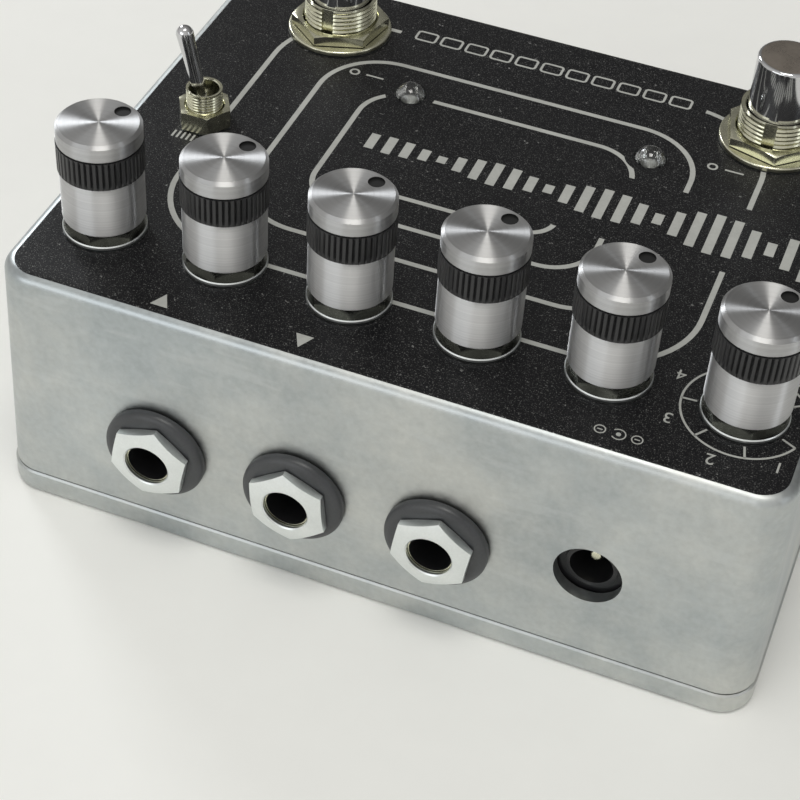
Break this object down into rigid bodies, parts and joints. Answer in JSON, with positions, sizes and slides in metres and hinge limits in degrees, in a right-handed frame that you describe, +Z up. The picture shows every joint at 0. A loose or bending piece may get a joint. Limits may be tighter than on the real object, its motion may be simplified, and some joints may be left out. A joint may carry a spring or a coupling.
{
  "type": "effects pedal",
  "caption": "Delay pedal in a drafted metal case: a row of fluted knobs, a toggle, footswitches, lamps and rear plug sockets.",
  "frame": {"origin": "middle of the lid's underside, where the pedal stands", "axes": "+X to the player's right, +Y away from the player through the socket wall, +Z up out of the panel"},
  "size_m": [0.1194, 0.0975, 0.0615],
  "materials": {
    "case_metal": "cast and sanded, satin, faintly mottled, with a black screened top",
    "turned_metal": "turned: satin sleeve, spun face",
    "nickel": "bright nickel plate, slightly warm",
    "chrome": "bright chrome plate",
    "tinned_steel": "plain tinned steel",
    "black_plastic": "moulded black, satin",
    "board": "green laminate",
    "clear_resin": "water-clear moulded resin"
  },
  "bodies": {
    "case": {"enclosure": "case_metal", "bottom_lid": "case_metal", "lid_screw_1": "nickel", "lid_screw_2": "nickel", "lid_screw_3": "nickel", "lid_screw_4": "nickel", "circuit_board": "board", "expression_jack": "black_plastic", "expression_jack_washer": "black_plastic", "expression_jack_nut": "nickel", "output_jack": "black_plastic", "output_jack_washer": "black_plastic", "output_jack_nut": "nickel", "input_jack": "black_plastic", "input_jack_washer": "black_plastic", "input_jack_nut": "nickel", "power_jack": "black_plastic", "potentiometer_1": "tinned_steel", "potentiometer_nut_1": "nickel", "potentiometer_2": "tinned_steel", "potentiometer_nut_2": "nickel", "potentiometer_3": "tinned_steel", "potentiometer_nut_3": "nickel", "potentiometer_4": "tinned_steel", "potentiometer_nut_4": "nickel", "potentiometer_5": "tinned_steel", "potentiometer_nut_5": "nickel", "potentiometer_6": "tinned_steel", "potentiometer_nut_6": "nickel", "toggle_case": "nickel", "toggle_nut": "nickel", "left_footswitch_case": "nickel", "left_footswitch_washer": "nickel", "left_footswitch_nut": "nickel", "left_lamp": "clear_resin", "right_footswitch_case": "nickel", "right_footswitch_washer": "nickel", "right_footswitch_nut": "nickel", "right_lamp": "clear_resin"},
    "knob_1": {"knob_sleeve_1": "turned_metal", "knob_core_1": "black_plastic", "knob_cap_1": "turned_metal"},
    "knob_2": {"knob_sleeve_2": "turned_metal", "knob_core_2": "black_plastic", "knob_cap_2": "turned_metal"},
    "knob_3": {"knob_sleeve_3": "turned_metal", "knob_core_3": "black_plastic", "knob_cap_3": "turned_metal"},
    "knob_4": {"knob_sleeve_4": "turned_metal", "knob_core_4": "black_plastic", "knob_cap_4": "turned_metal"},
    "knob_5": {"knob_sleeve_5": "turned_metal", "knob_core_5": "black_plastic", "knob_cap_5": "turned_metal"},
    "knob_6": {"knob_sleeve_6": "turned_metal", "knob_core_6": "black_plastic", "knob_cap_6": "turned_metal"},
    "toggle": {"toggle_lever": "chrome"},
    "left_footswitch": {"left_footswitch_button": "chrome"},
    "right_footswitch": {"right_footswitch_button": "chrome"}
  },
  "joints": [
    {"name": "knob_1_turn", "type": "hinge", "parent": "case", "child": "knob_1", "pos_m": [-0.0483, 0.0305, 0.0454], "axis": [0, 0, 1], "range_deg": [0, 250]},
    {"name": "knob_2_turn", "type": "hinge", "parent": "case", "child": "knob_2", "pos_m": [-0.02898, 0.0305, 0.0454], "axis": [0, 0, 1], "range_deg": [-300, 0]},
    {"name": "knob_3_turn", "type": "hinge", "parent": "case", "child": "knob_3", "pos_m": [-0.00966, 0.0305, 0.0454], "axis": [0, 0, 1], "range_deg": [-300, 0]},
    {"name": "knob_4_turn", "type": "hinge", "parent": "case", "child": "knob_4", "pos_m": [0.00966, 0.0305, 0.0454], "axis": [0, 0, 1], "range_deg": [-300, 0]},
    {"name": "knob_5_turn", "type": "hinge", "parent": "case", "child": "knob_5", "pos_m": [0.02898, 0.0305, 0.0454], "axis": [0, 0, 1], "range_deg": [-300, 0]},
    {"name": "knob_6_turn", "type": "hinge", "parent": "case", "child": "knob_6", "pos_m": [0.0483, 0.0305, 0.0454], "axis": [0, 0, 1], "range_deg": [-300, 0]},
    {"name": "toggle_throw", "type": "hinge", "parent": "case", "child": "toggle", "pos_m": [0.04625, 0.0008, 0.045], "axis": [0, 1, 0], "range_deg": [-26, 0]},
    {"name": "left_footswitch_press", "type": "slide", "parent": "case", "child": "left_footswitch", "axis": [0, 0, -1], "range_m": [0, 0.0032], "stiffness_N_per_m": 1000, "springref_m": -0.002},
    {"name": "right_footswitch_press", "type": "slide", "parent": "case", "child": "right_footswitch", "axis": [0, 0, -1], "range_m": [0, 0.0032], "stiffness_N_per_m": 1000, "springref_m": -0.002}
  ]
}
